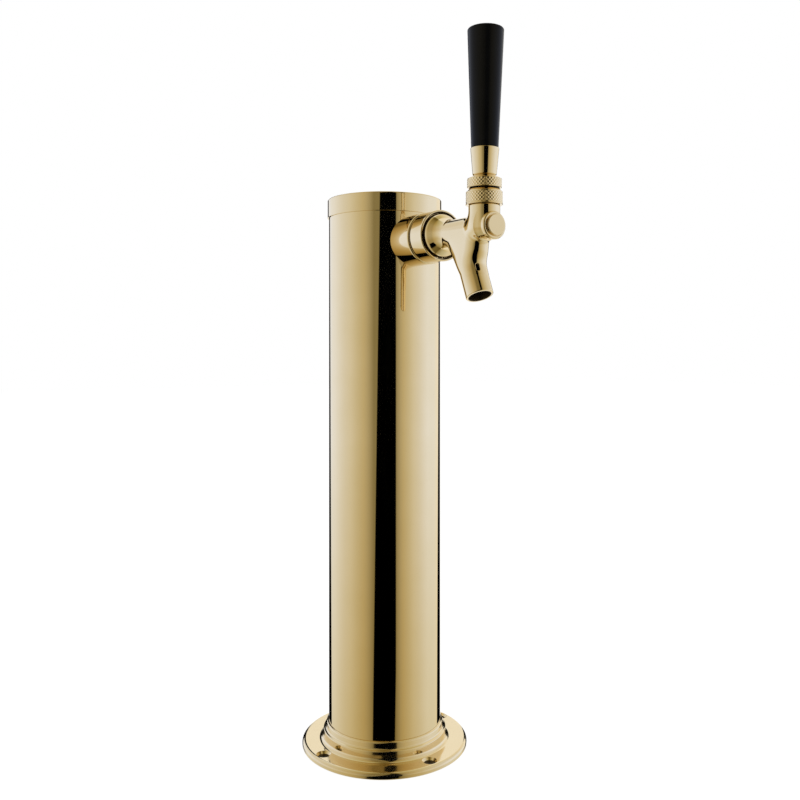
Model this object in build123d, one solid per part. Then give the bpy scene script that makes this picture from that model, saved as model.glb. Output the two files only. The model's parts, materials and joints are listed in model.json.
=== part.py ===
from build123d import *
import os
from math import cos, radians, sin, tan

# Single-faucet beer tower. Millimetres, +Z up, the faucet points to -Y.
# The origin is the centre of the base's mounting face, on the column's axis.
# Heights are above the mounting face and reaches are forward of the column's axis.

# ---- fits ----
snug = 0.05             # parts screwed or seated together
running = 0.1           # parts that turn or slide in each other

# ---- column and cap ----
tube_od = 76.2
tube_wall = 1.5
tube_length = 366.7
tube_seat = 2.0         # the tube's foot stands on a ledge this high in the base
cap_wall = 0.8
cap_top = 0.8
cap_skirt = 12.3        # outside height of the cap
cap_edge = 1.0

# ---- base ----
base_od = 112.0
base_thickness = 4.5
base_edge = 2.5
base_foot_edge = 1.0
collar_height = 16.5
collar_wall = 1.45      # the collar at its top, over the tube
collar_edge = 1.2
step_height = 11.2      # the wider lower step of the collar
step_width = 2.0
step_edge = 0.7
step_fillet = 1.1
cove = 2.8
bolt_inset = 7.0        # from the rim to the centre of a screw hole
bolt_hole = 6.5
bolt_head = 9.8         # countersink's mouth
bolt_count = 4
bolt_turn = 5.0         # degrees from the column's X axis
gasket_thickness = 1.5
gasket_width = 11.0
gasket_rim = 2.5        # metal left outside the gasket's pocket

# ---- shank and its nuts, all on the shank's axis ----
faucet_drop = 30.5      # the shank's axis below the top of the tube
rosette_od = 32.8       # the saddle-backed flange on the column
rosette_reach = 17.1    # its front face, forward of the tube's wall
rosette_edge = 1.3
shank_od = 22.2
shank_bore = 6.4
shank_tail = 28.1       # length inside the column, from the tube's outside
shank_grip = 3.8        # length inside the coupling nut
shank_shoulder = 24.0   # diameter that bears on the rosette
snap_ring_od = 27.0
snap_ring_thickness = 1.2
snap_ring_groove = 0.6  # depth of its groove in the shank
coupling_od = 31.8
coupling_thread = 28.6
coupling_gap = 1.2      # between the rosette and the nut
coupling_lip = 1.5
coupling_length = 12.8
coupling_mouth = 29.8   # smooth front end of the nut's bore
coupling_mouth_depth = 2.6
coupling_washer_thickness = 2.0
coupling_washer_bore = 10.0
saddle_od = 30.0        # spacer inside the tube
saddle_thickness = 5.6
lock_nut_flats = 30.0
lock_nut_thickness = 6.0
tail_washer_thickness = 1.5
tail_nut_flats = 27.0
tail_nut_lip = 2.2
tail_nut_grip = 7.0     # thread taken up on the shank
tail_flange = 2.0
tail_od = 8.4
tail_bore = 5.2
tail_length = 16.5      # from the flange back to the hose barb's upright axis
tail_bend = 8.0
barb_drop = 38.2        # from the shank's axis down to the barb's lower end
barb_rib_od = 10.0
barb_rib_pitch = 4.5
barb_ribs = 3

# ---- faucet body ----
waist_length = 35.4     # from the dome's end to the handle's axis
ball_rise = 10.7        # the ball's centre above the shank's axis
neck_od = 18.3
neck_drop = 6.8         # the neck's rounded end below the shank's axis
neck_rounding = 7.0
waist_od = 16.4         # at the dome's end; it narrows a little towards the neck
waist_front_od = 15.0
waist_fillet = 11.0     # the long curve between the dome and the waist
dome_od = 27.0
dome_rounding = 4.0
dome_neck = 0.8         # clear of the coupling nut before the dome starts to close
dome_length = 6.2       # from there to the waist
thread_length = 5.0     # rear thread, in the coupling nut
chamber_bore = 16.0
seat_depth = 2.5        # the valve's seat beyond the start of the dome
valve_bore = 8.4
valve_bore_wall = 1.9   # metal between the valve's bore and the boss's face
boss_od = 16.2
boss_stand = 6.8        # the boss's back, forward of the handle's axis
boss_thickness = 3.3
disc_od = 12.1
disc_thickness = 1.7
boss_neck_od = 12.6
spout_od = 16.4
spout_bore = 13.3
spout_lean = 22.9       # degrees forward of straight down
spout_setback = 12.4    # the spout's knee behind the handle's axis
spout_knee_drop = 20.1  # the knee below the shank's axis
spout_length = 21.2     # knee to mouth, along the axis
spout_bore_depth = 24.0
spout_feed = 8.0        # passage between the valve and the spout
hip_drops = (0, 2.8, 6.5, 12.8)         # ovals below the shank's axis, from the waist to the spout
hip_rears = (-3.2, -2.7, 1.3, 7.5)      # their backs, forward of the dome's end
hip_fronts = (0.4, 1.1, 1.6, 0)         # their fronts, forward of the handle's axis
hip_widths = (14.6, 15.8, 16.0, 16.0)
vent_width = 2.2
vent_height = 4.4
vent_turn = 18.5        # degrees to the side of the spout's front
vent_drop = 6.4         # below the knee, along the spout

# ---- lever, bonnet and handle, heights above the ball's centre ----
lever_open = 20.0       # degrees the handle is pulled forward
lever_lean = 0.8        # degrees forward at rest
ball_od = 12.4
socket_bore = 14.4
stem_od = 5.6
stud_od = 9.4
stud_top = 57.0
tip_od = 4.2
tip_neck_od = 2.4
arm_od = 4.0
ball_washer_bottom = -5.7
ball_washer_top = -1.9
ball_washer_bore = 9.6
friction_washer_bottom = 1.2
friction_washer_top = 3.6
neck_top = 6.4
bonnet_bottom = 1.9
bonnet_od = 21.2
bonnet_flare = 0.3
bonnet_thread = 17.3
bonnet_roof = 6.6       # underside of the bonnet's roof
dome_clearance = 0.6    # between the bonnet's dome and the collar's hollow
bonnet_dome = 14.1      # radius of its top about the ball's centre
lever_collar_od = 20.0
lever_collar_bottom = 11.7
lever_collar_shoulder = 16.9
lever_collar_top = 18.6
lever_collar_top_od = 14.0
ferrule_top = 34.6
ferrule_foot_od = 13.8
ferrule_top_od = 16.7
ferrule_edge = 1.2
handle_top = 103.1
handle_foot_od = 15.8
handle_top_od = 21.2
handle_edge = 1.0
insert_od = 12.0
insert_length = 24.0
part_gap = 0.1          # visible joint line between stacked pieces

# ---- valve shaft ----
guide_rear_length = 6.2     # the guide, behind the lever's tip
guide_front_length = 6.8    # and in front of it
rod_od = 4.6
seat_washer_od = 13.0
seat_washer_thickness = 3.0
shaft_nut_flats = 8.0
shaft_nut_thickness = 2.6

# ---- worked out from the sizes above ----
tube_r = tube_od / 2
tube_bore = tube_r - tube_wall
tube_top = tube_seat + tube_length
bolt_circle = base_od - 2 * bolt_inset
faucet_height = tube_top - faucet_drop
rosette_face = tube_r + rosette_reach
shank_rear = tube_r - shank_tail
coupling_rear = rosette_face + coupling_gap
coupling_front = coupling_rear + coupling_length
shank_front = coupling_rear + shank_grip
faucet_rear = shank_front + coupling_washer_thickness
dome_shoulder = coupling_front + dome_neck
dome_end = dome_shoulder + dome_length
seat_reach = dome_shoulder + seat_depth
handle_reach = dome_end + waist_length
ball_height = faucet_height + ball_rise
boss_rear = handle_reach + boss_stand
boss_front = boss_rear + boss_thickness
disc_face = boss_front + disc_thickness
spout_knee_reach = handle_reach - spout_setback
spout_knee_height = faucet_height - spout_knee_drop
tip_reach = handle_reach - ball_rise * sin(radians(lever_lean))
valve_travel = ball_rise * sin(radians(lever_open))
stem_sweep = radians(lever_open + lever_lean + 1)

lean = radians(lever_lean)
column_line = Plane(origin=(0, 0, 0), x_dir=(0, 0, 1), z_dir=(0, 1, 0))
shank_line = Plane(origin=(0, 0, faucet_height), x_dir=(0, -1, 0), z_dir=(-1, 0, 0))
ball_line = Plane(origin=(0, -handle_reach, ball_height), x_dir=(0, 0, 1), z_dir=(0, 1, 0))
lever_line = Plane(origin=ball_line.origin, x_dir=(0, -sin(lean), cos(lean)), z_dir=(0, cos(lean), sin(lean)))


def turned(line, *corners):
    """Turn a closed outline about a line's X axis. A corner is (along, radius) or (along, radius, rounding)."""
    rounds = [corner[2] if len(corner) > 2 else 0 for corner in corners]
    outline = FilletPolyline(*[corner[:2] for corner in corners], radius=rounds, close=True)
    return revolve(line * make_face(outline), Axis(line.origin, line.x_dir))


def rod(line, start, end, diameter):
    """A plain cylinder along a line's X axis."""
    return turned(line, (start, 0), (start, diameter / 2), (end, diameter / 2), (end, 0))


def tube(line, start, end, outer, inner):
    return turned(line, (start, inner / 2), (start, outer / 2), (end, outer / 2), (end, inner / 2))


def hexagon(line, start, end, flats, bore):
    """A hexagon nut with its corners chamfered at both ends."""
    section = Plane(line.from_local_coords((start, 0, 0)), x_dir=line.y_dir, z_dir=line.x_dir)
    across = flats / cos(radians(30)) / 2
    blank = extrude(section * RegularPolygon(across, 6), end - start)
    bevel = (across - flats / 2) * tan(radians(30))
    trim = turned(
        line, (start, 0), (start, flats / 2), (start + bevel, across), (end - bevel, across), (end, flats / 2), (end, 0)
    )
    return (blank & trim) - rod(line, start, end, bore)


def at_ball(shape):
    return Pos(*ball_line.origin) * shape


# ---- column ----

def bolt_places():
    """The centres of the base's screw holes."""
    return PolarLocations(bolt_circle / 2, bolt_count, start_angle=bolt_turn)


def base_flange():
    """Turned flange with a stepped collar, a ledge for the tube and four countersunk holes."""
    top_r = tube_r + collar_wall
    step_r = top_r + step_width
    body = turned(
        column_line,
        (0, tube_bore),
        (0, base_od / 2, base_foot_edge),
        (base_thickness, base_od / 2, base_edge),
        (base_thickness, step_r + 0.3, cove),
        (step_height, step_r, step_edge),
        (step_height + 0.7, top_r + 0.2, step_fillet),
        (collar_height - 0.5, top_r - 0.1, collar_edge),
        (collar_height, tube_r + snug),
        (tube_seat, tube_r + snug),
        (tube_seat, tube_bore),
    )
    pocket_od = base_od - 2 * gasket_rim
    body -= tube(column_line, 0, gasket_thickness, pocket_od, pocket_od - 2 * gasket_width)
    depth = (bolt_head - bolt_hole) / 2
    for place in bolt_places().locations:
        body -= place * Pos(0, 0, base_thickness / 2) * Cylinder(bolt_hole / 2, base_thickness + 2)
        body -= place * Pos(0, 0, base_thickness - depth / 2) * Cone(bolt_hole / 2, bolt_head / 2, depth)
    return body


def base_gasket():
    outer = base_od - 2 * gasket_rim - 2 * snug
    ring = tube(column_line, 0, gasket_thickness - snug, outer, outer - 2 * gasket_width + 4 * snug)
    for place in bolt_places().locations:
        ring -= place * Cylinder(bolt_hole / 2, 4 * gasket_thickness)
    return ring


def column_tube():
    """The tube, with one round hole for the shank in its front wall."""
    wall = tube(column_line, tube_seat, tube_top, tube_od, 2 * tube_bore)
    return wall - rod(shank_line, tube_bore / 2, tube_od, shank_od + 4 * running)


def top_cap():
    """A pressed lid slipped over the tube's open end."""
    inner_r = tube_r + running
    top = tube_top + cap_top
    outer_r = inner_r + cap_wall
    return turned(
        column_line,
        (top - cap_skirt, inner_r),
        (top - cap_skirt, outer_r),
        (top, outer_r, cap_edge),
        (top, 0),
        (tube_top, 0),
        (tube_top, inner_r),
    )


# ---- shank ----

def shank_rosette():
    """Round flange whose back is hollowed to sit on the column."""
    blank = turned(
        shank_line,
        (tube_bore / 2, 0),
        (tube_bore / 2, rosette_od / 2),
        (rosette_face, rosette_od / 2, rosette_edge),
        (rosette_face, 0),
    )
    blank -= rod(column_line, 0, 2 * faucet_height, tube_od + 2 * snug)
    return blank - rod(shank_line, 0, 2 * rosette_face, shank_od + 2 * snug)


def snap_ring_reach():
    return coupling_rear + coupling_lip + snug


def shank():
    """Bored nipple with a shoulder on the rosette and a groove for the snap ring."""
    groove = snap_ring_reach()
    groove_end = groove + snap_ring_thickness + snug
    shoulder_r = shank_shoulder / 2
    return turned(
        shank_line,
        (shank_rear, shank_bore / 2),
        (shank_rear, shank_od / 2 - snug, 0.6),
        (rosette_face, shank_od / 2 - snug),
        (rosette_face, shoulder_r),
        (groove, shoulder_r),
        (groove, shoulder_r - snap_ring_groove),
        (groove_end, shoulder_r - snap_ring_groove),
        (groove_end, shoulder_r),
        (shank_front, shoulder_r, 0.4),
        (shank_front, shank_bore / 2),
    )


def snap_ring():
    """Split wire ring that keeps the coupling nut on the shank."""
    start = snap_ring_reach() + snug / 2
    bore = shank_shoulder - 2 * snap_ring_groove + 2 * snug
    ring = tube(shank_line, start, start + snap_ring_thickness - snug, snap_ring_od, bore)
    gap = Pos(0, -start, faucet_height - snap_ring_od / 2) * Box(3, 6, 6)
    return ring - gap


def coupling_nut():
    """Round nut that pulls the faucet to the shank; its smooth mouth stands clear of the dome."""
    lip_end = coupling_rear + coupling_lip
    mouth = coupling_front - coupling_mouth_depth
    return turned(
        shank_line,
        (coupling_rear, shank_shoulder / 2 + snug),
        (coupling_rear, coupling_od / 2, 0.8),
        (coupling_front, coupling_od / 2, 0.7),
        (coupling_front, coupling_mouth / 2),
        (mouth, coupling_mouth / 2),
        (mouth, coupling_thread / 2),
        (lip_end, coupling_thread / 2),
        (lip_end, shank_shoulder / 2 + snug),
    )


def coupling_washer():
    start = shank_front + snug
    return tube(shank_line, start, faucet_rear - snug, shank_shoulder, coupling_washer_bore)


def saddle_spacer():
    """Spacer inside the tube: curved to the wall in front, flat for the nut behind."""
    flat = tube_bore - saddle_thickness
    blank = tube(shank_line, flat, tube_r, saddle_od, shank_od + 2 * snug)
    return blank & rod(column_line, 0, 2 * faucet_height, 2 * (tube_bore - snug))


def shank_lock_nut():
    front = tube_bore - saddle_thickness - snug
    return hexagon(shank_line, front - lock_nut_thickness, front, lock_nut_flats, shank_od + 2 * snug)


def tail_flange_reach():
    """Reach of the tailpiece's flange face, which the tail nut pulls to the shank."""
    return shank_rear - tail_washer_thickness


def tail_washer():
    return tube(shank_line, tail_flange_reach() + snug, shank_rear - snug, shank_od - 2, shank_bore)


def tailpiece():
    """Elbow from the shank's end down to a ribbed hose barb."""
    face = tail_flange_reach()
    mouth = Plane((0, -face, faucet_height), z_dir=(0, 1, 0))
    corner = mouth.origin + (0, tail_length, 0)
    foot_end = corner - (0, 0, barb_drop)
    path = FilletPolyline(mouth.origin, corner, foot_end, radius=tail_bend)
    elbow = sweep(mouth * Circle(tail_od / 2), path)
    elbow += tube(shank_line, face - tail_flange, face, shank_od - 1, tail_bore)
    barb_line = Plane(foot_end, x_dir=(0, 0, 1), z_dir=(0, 1, 0))
    for rib in range(barb_ribs):
        foot = rib * barb_rib_pitch
        elbow += turned(
            barb_line,
            (foot, 0),
            (foot, tail_od / 2 - 0.2),
            (foot + 0.8 * barb_rib_pitch, barb_rib_od / 2),
            (foot + barb_rib_pitch, tail_od / 2),
            (foot + barb_rib_pitch, 0),
        )
    return elbow - sweep(mouth * Circle(tail_bore / 2), path)


def tail_nut():
    """Hexagon cap nut over the tailpiece's flange."""
    flange_back = tail_flange_reach() - tail_flange
    rear = flange_back - tail_nut_lip
    nut = hexagon(shank_line, rear, shank_rear + tail_nut_grip, tail_nut_flats, tail_od + 4 * running)
    return nut - rod(shank_line, flange_back - snug, 2 * shank_rear + tail_nut_grip, shank_od + 2 * snug)


# ---- faucet body ----

def spout_line():
    """The spout's axis, X running down from the knee towards the mouth."""
    tilt = radians(spout_lean)
    return Plane(
        (0, -spout_knee_reach, spout_knee_height), x_dir=(0, -sin(tilt), -cos(tilt)), z_dir=(0, cos(tilt), -sin(tilt))
    )


def level_oval(height, rear, front, width):
    middle = (rear + front) / 2
    return Pos(0, -middle, height) * Ellipse(width / 2, (front - rear) / 2)


def hip_and_spout():
    """The body widens below the waist, closes to the spout and runs out as a straight tube."""
    half = spout_od / 2 / cos(radians(spout_lean))
    sections = []
    for drop, rear, front, width in zip(hip_drops, hip_rears, hip_fronts, hip_widths):
        sections.append(level_oval(faucet_height - drop, dome_end + rear, handle_reach + front, width))
    slope = tan(radians(spout_lean))
    for drop in (0, spout_od / 3):
        reach = spout_knee_reach + drop * slope
        sections.append(level_oval(spout_knee_height - drop, reach - half, reach + half, spout_od))
    line = spout_line()
    tube_part = extrude(sections[-1], spout_length + spout_od, dir=line.x_dir)
    past_mouth = rod(line, spout_length, spout_length + 2 * spout_od, 4 * spout_od)
    return loft(sections) + (tube_part - past_mouth)


def faucet_outside():
    """Dome, waist, neck, front boss and spout joined as one casting."""
    thread_end = faucet_rear + thread_length
    body = turned(
        shank_line,
        (faucet_rear, 0),
        (faucet_rear, coupling_thread / 2 - snug, 0.5),
        (thread_end, coupling_thread / 2 - snug),
        (thread_end, dome_od / 2),
        (dome_shoulder, dome_od / 2, dome_rounding),
        (dome_end, waist_od / 2, waist_fillet),
        (handle_reach, waist_front_od / 2),
        (handle_reach, 0),
    )
    body += hip_and_spout()
    neck = -ball_rise - neck_drop
    body += turned(
        ball_line,
        (neck, 0),
        (neck, neck_od / 2, neck_rounding),
        (bonnet_bottom - part_gap, neck_od / 2),
        (bonnet_bottom - part_gap, bonnet_thread / 2),
        (neck_top, bonnet_thread / 2, 0.3),
        (neck_top, 0),
    )
    return body + turned(
        shank_line,
        (handle_reach, 0),
        (handle_reach, boss_neck_od / 2),
        (boss_rear, boss_neck_od / 2),
        (boss_rear, boss_od / 2, 0.8),
        (boss_front, boss_od / 2, 1.1),
        (boss_front, disc_od / 2),
        (disc_face, disc_od / 2, 0.4),
        (disc_face, 0),
    )


def faucet_body():
    """The casting with its valve chamber, seat, lever socket, spout bore and vent."""
    body = faucet_outside()
    body -= rod(shank_line, faucet_rear, seat_reach, chamber_bore)
    body -= rod(shank_line, seat_reach, boss_front - valve_bore_wall, valve_bore)
    socket = ball_washer_bottom - part_gap
    body -= rod(ball_line, socket, 2 * neck_top, socket_bore)
    body -= rod(ball_line, -ball_rise, socket, ball_washer_bore + 2 * running)
    line = spout_line()
    bore_top = spout_length - spout_bore_depth
    body -= rod(line, bore_top, spout_length, spout_bore)
    to_shaft = spout_knee_drop / cos(radians(spout_lean))
    body -= rod(line, -to_shaft, bore_top, spout_feed)
    turn = radians(vent_turn)
    vent_plane = Plane(
        line.from_local_coords((vent_drop, 0, 0)),
        x_dir=line.x_dir,
        z_dir=-line.y_dir * cos(turn) - line.z_dir * sin(turn),
    )
    return body - extrude(vent_plane * SlotOverall(vent_height, vent_width), spout_od)


# ---- bonnet and lever ----

def ball_washer():
    ring = tube(ball_line, ball_washer_bottom, ball_washer_top, socket_bore - 2 * snug, ball_washer_bore)
    return ring - at_ball(Sphere(ball_od / 2 + running))


def friction_washer():
    ring = rod(ball_line, friction_washer_bottom, friction_washer_top, socket_bore - 2 * snug)
    return ring - at_ball(Sphere(ball_od / 2 + running))


def bonnet():
    """Round nut over the neck; its domed top has a flared hole in which the lever swings."""
    outside = turned(
        ball_line,
        (bonnet_bottom, 0),
        (bonnet_bottom, bonnet_od / 2 + bonnet_flare, 0.4),
        (bonnet_dome / 2, bonnet_od / 2),
        (bonnet_dome, bonnet_od / 2),
        (bonnet_dome, 0),
    )
    outside &= at_ball(Sphere(bonnet_dome))
    press = friction_washer_top + snug
    outside -= rod(ball_line, bonnet_bottom, press, bonnet_thread + 2 * snug)
    outside -= tube(ball_line, press, bonnet_roof, bonnet_thread + 2 * snug, socket_bore - 4 * snug)
    outside -= at_ball(Sphere(ball_od / 2 + 2 * running))
    stem_r = stem_od / 2 / cos(stem_sweep) + 0.25
    return outside - turned(
        ball_line,
        (0, 0),
        (0, stem_r),
        (2 * bonnet_dome, stem_r + 2 * bonnet_dome * tan(stem_sweep)),
        (2 * bonnet_dome, 0),
    )


def lever():
    """Ball lever: threaded stud and stem above the ball, a round-tipped arm below it."""
    stud_start = bonnet_dome + dome_clearance
    spindle = turned(
        lever_line,
        (-ball_rise, 0),
        (-ball_rise, tip_neck_od / 2),
        (-ball_rise / 2, arm_od / 2),
        (0, arm_od / 2),
        (0, stem_od / 2),
        (stud_start, stem_od / 2),
        (stud_start, stud_od / 2),
        (stud_top - 1, stud_od / 2),
        (stud_top, stud_od / 2 - 1),
        (stud_top, 0),
    )
    tip = lever_line.from_local_coords((-ball_rise, 0, 0))
    return spindle + at_ball(Sphere(ball_od / 2)) + Pos(*tip) * Sphere(tip_od / 2)


def lever_collar():
    """Round nut under the handle, hollowed beneath to clear the bonnet's dome."""
    ring = turned(
        lever_line,
        (lever_collar_bottom, stud_od / 2 + snug),
        (lever_collar_bottom, lever_collar_od / 2, 0.4),
        (lever_collar_shoulder, lever_collar_od / 2, 0.4),
        (lever_collar_top, lever_collar_top_od / 2),
        (lever_collar_top, stud_od / 2 + snug),
    )
    return ring - at_ball(Sphere(bonnet_dome + dome_clearance))


def handle_ferrule():
    foot = lever_collar_top + part_gap
    return turned(
        lever_line,
        (foot, stud_od / 2 + snug),
        (foot, ferrule_foot_od / 2, ferrule_edge),
        (ferrule_top, ferrule_top_od / 2, 0.3),
        (ferrule_top, stud_od / 2 + snug),
    )


def handle():
    """Tapered moulded grip with a socket for its threaded insert."""
    foot = ferrule_top + part_gap
    grip = turned(
        lever_line,
        (foot, 0),
        (foot, handle_foot_od / 2, 0.3),
        (handle_top, handle_top_od / 2, handle_edge),
        (handle_top, 0),
    )
    return grip - rod(lever_line, foot, foot + insert_length, insert_od)


def handle_insert():
    foot = ferrule_top + part_gap
    blank = rod(lever_line, foot, foot + insert_length - snug, insert_od - 2 * snug)
    return blank - rod(lever_line, foot, stud_top + snug, stud_od + 2 * snug)


# ---- valve ----

def valve_shaft():
    """Guide with a flared cross hole for the lever's tip, and a thin rod back to the seat."""
    nut_back = seat_reach - seat_washer_thickness - shaft_nut_thickness - 0.6
    guide_r = valve_bore / 2 - running
    guide_rear = handle_reach - guide_rear_length
    guide_front = handle_reach + guide_front_length
    shaft = turned(
        shank_line,
        (nut_back, 0),
        (nut_back, rod_od / 2, 0.4),
        (guide_rear, rod_od / 2),
        (guide_rear, guide_r, 0.5),
        (guide_front, guide_r, 0.5),
        (guide_front, 0),
    )
    tip_r = tip_od / 2 + running
    hole_line = Plane((0, -tip_reach, faucet_height), x_dir=(0, 0, 1), z_dir=(0, 1, 0))
    flare = tip_neck_od / 2 + tan(stem_sweep) * guide_r + 0.6
    hole = turned(hole_line, (0, 0), (0, tip_r), (guide_r / 4, tip_r), (guide_r, flare), (guide_r, 0))
    return shaft - hole - Pos(0, -tip_reach, faucet_height) * Sphere(tip_r)


def seat_washer():
    front = seat_reach - snug
    return tube(shank_line, front - seat_washer_thickness + snug, front, seat_washer_od, rod_od + 2 * snug)


def shaft_nut():
    front = seat_reach - seat_washer_thickness - snug
    return hexagon(shank_line, front - shaft_nut_thickness, front, shaft_nut_flats, rod_od + 2 * snug)


PARTS = [
    base_flange,
    base_gasket,
    column_tube,
    top_cap,
    shank_rosette,
    shank,
    snap_ring,
    coupling_nut,
    coupling_washer,
    saddle_spacer,
    shank_lock_nut,
    tail_washer,
    tailpiece,
    tail_nut,
    faucet_body,
    ball_washer,
    friction_washer,
    bonnet,
    lever,
    lever_collar,
    handle_ferrule,
    handle,
    handle_insert,
    valve_shaft,
    seat_washer,
    shaft_nut,
]

os.makedirs("parts", exist_ok=True)
for make in PARTS:
    export_step(make(), f"parts/{make.__name__}.step")
print(f"valve travel {valve_travel:.3f} mm")
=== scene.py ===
import json
import math

import bpy
import numpy as np
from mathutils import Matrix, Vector


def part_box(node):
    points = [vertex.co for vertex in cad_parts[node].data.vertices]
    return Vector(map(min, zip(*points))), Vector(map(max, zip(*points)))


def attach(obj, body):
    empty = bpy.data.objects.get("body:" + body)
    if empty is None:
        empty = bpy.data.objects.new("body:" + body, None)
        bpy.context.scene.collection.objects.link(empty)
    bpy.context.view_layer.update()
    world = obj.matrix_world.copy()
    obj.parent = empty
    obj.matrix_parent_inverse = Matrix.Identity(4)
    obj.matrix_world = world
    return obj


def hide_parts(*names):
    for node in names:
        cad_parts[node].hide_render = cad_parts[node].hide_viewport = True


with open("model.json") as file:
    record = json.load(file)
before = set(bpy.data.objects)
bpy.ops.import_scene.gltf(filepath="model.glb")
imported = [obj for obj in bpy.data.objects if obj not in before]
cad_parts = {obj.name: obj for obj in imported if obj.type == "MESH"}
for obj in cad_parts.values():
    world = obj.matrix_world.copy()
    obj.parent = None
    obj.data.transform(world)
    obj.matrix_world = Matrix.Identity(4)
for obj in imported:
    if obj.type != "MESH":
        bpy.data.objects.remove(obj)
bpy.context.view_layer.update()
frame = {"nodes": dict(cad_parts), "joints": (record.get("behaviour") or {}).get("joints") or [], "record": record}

# Shapes are worked out in millimetres and written to the meshes in metres.
MM = 0.001

# ---- sizes read from the frame ----


def box_mm(node):
    low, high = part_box(node)
    return np.array(low) / MM, np.array(high) / MM


def joint(name):
    return next(j for j in frame["joints"] if j["name"] == name)


def mount(name):
    return next(m for m in frame["record"]["mounts"] if m["name"] == name)


tube_low, tube_high = box_mm("column_tube")
cap_low, cap_high = box_mm("top_cap")
base_high = box_mm("base_flange")[1]
rosette_low, rosette_high = box_mm("shank_rosette")
coupling_low, coupling_high = box_mm("coupling_nut")
body_low = box_mm("faucet_body")[0]
bonnet_low = box_mm("bonnet")[0]
washer_low = box_mm("coupling_washer")[0]

tube_r = tube_high[0]
shank_height = (coupling_low[2] + coupling_high[2]) / 2
coupling_back = -coupling_high[1]
coupling_front = -coupling_low[1]
ball = np.array(joint("lever_pivot")["pos_m"]) / MM
handle_reach = -ball[1]
bolts = mount("base_bolts")["dims"]
outlet = mount("spout_outlet")

# ---- sizes that the frame's boxes don't give ----
edge = 0.08                 # rounding of an edge that looks sharp
seam = 0.05                 # between pieces that fit together
arc_step = math.radians(9)
segments_wide = 360         # round the column, its lid and its base

tube_wall = 1.5
tube_bore_r = tube_r - tube_wall
cap_roof = 0.8
cap_edge = 1.0
cap_rim_edge = 0.15

collar_wall = 1.45
collar_edge = 1.2
step_width = 2.0
step_height = 11.2
step_edge = 0.7
step_fillet = 1.1
base_thickness = 4.5
base_edge = 2.5
base_foot_edge = 1.0
base_cove = 2.8
gasket_rim = 2.5
gasket_width = 11.0
gasket_depth = 1.5
bolt_turn = math.radians(5)
bolt_head_r = 4.9
hole_lining = 0.3           # drawn thickness of a screw hole's wall, a near-black lining of painted shade
hole_lining_gap = 0.01      # keeps it off the casting

shank_hole_r = 11.3
rosette_edge = 1.3
coupling_lip = 1.5
coupling_lip_r = 12.05
coupling_thread_r = 14.3
coupling_mouth_r = 14.9
coupling_mouth_depth = 2.6
coupling_back_edge = 0.8
coupling_front_edge = 0.7

casting_rear = seam - washer_low[1]
rear_thread_r = 14.2
rear_thread_length = 4.2
dome_r = 13.5
dome_shoulder = coupling_front + 0.8
dome_end = dome_shoulder + 6.2
dome_rounding = 4.0
waist_r = 8.2               # where it leaves the dome
waist_rounding = 11.0
waist_front_r = 7.5
neck_r = 9.15
neck_drop = 6.8             # its rounded end below the shank's axis
neck_rounding = 7.0
neck_thread_r = 8.6
neck_thread_top = 6.4       # above the ball's centre
chamber_bore_r = 8.0
valve_seat = dome_shoulder + 2.5
valve_bore_r = 4.2
valve_bore_wall = 1.9       # metal between the valve's bore and the boss's face
socket_bore_r = 7.2
socket_drop = 5.8           # its floor below the ball's centre
arm_hole_r = 4.9
boss_neck_r = 6.3
boss_r = 8.1
boss_rear = handle_reach + 6.8
boss_front = boss_rear + 3.3
disc_r = 6.05
disc_gap = 0.35             # between the disc and the boss round it
disc_seat_depth = 0.4
spout_r = 8.2
spout_feed_r = 4.0
vent_drop = 6.4             # below the knee, along the spout
vent_half_width = 1.1
vent_half_straight = 1.1    # half the length of its straight sides
vent_turn = math.radians(18.5)

# bonnet, collar, ferrule and handle; their heights are above the ball's centre
lever_lean = math.radians(0.8)
bonnet_dome_r = 14.1        # about the ball's centre
bonnet_r = 10.6
bonnet_flare = 0.27         # at the ring's foot
bonnet_foot_height = 0.9
bonnet_hole_r = 7.9
bonnet_throat_r = 5.9       # the flared hole, level with the roof
bonnet_roof = 6.6           # underside of the ring's roof
bonnet_thread_r = 8.75
press_low = 3.7             # the bonnet's inner collar, which presses on the friction washer
press_bore_r = 5.2
press_r = 7.0
collar_r = 10.0
collar_low = 11.7
collar_shoulder = 16.9
collar_top = 18.6
collar_top_r = 7.0
collar_bore_r = 4.75
collar_hollow_r = bonnet_dome_r + 0.6
collar_rim = math.sqrt(collar_hollow_r**2 - collar_low**2)
ferrule_low = collar_top + 0.1
ferrule_top = 34.6
ferrule_foot_r = 6.9
ferrule_foot_edge = 1.2
ferrule_top_r = 8.35
handle_low = ferrule_top + 0.1
handle_top = 103.1
handle_foot_r = 7.9
handle_top_r = 10.6
handle_edge = 1.0
insert_hole_r = 6.0
insert_hole_depth = 24
knurl_depth = 0.28
knurl_pitch = 1.95          # round the ring
knurl_rise = 2.1            # along the axis
knurl_ring = 0.12           # the longest step between rings on a knurled stretch
knurl_fade = 0.3            # where the grooves run out at either end


# ---- turned pieces ----

class Line:
    """A turning axis: along it, and two directions square to it."""

    def __init__(self, origin, along, side):
        self.origin = np.array(origin, float)
        self.along = np.array(along, float)
        self.side = np.array(side, float)
        self.third = np.cross(self.along, self.side)

    def outward(self, angle):
        return np.outer(np.cos(angle), self.side) + np.outer(np.sin(angle), self.third)


column_line = Line((0, 0, 0), (0, 0, 1), (1, 0, 0))
shank_line = Line((0, 0, shank_height), (0, -1, 0), (1, 0, 0))
ball_line = Line(ball, (0, 0, 1), (1, 0, 0))
lever_line = Line(ball, (0, -math.sin(lever_lean), math.cos(lever_lean)), (1, 0, 0))


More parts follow.
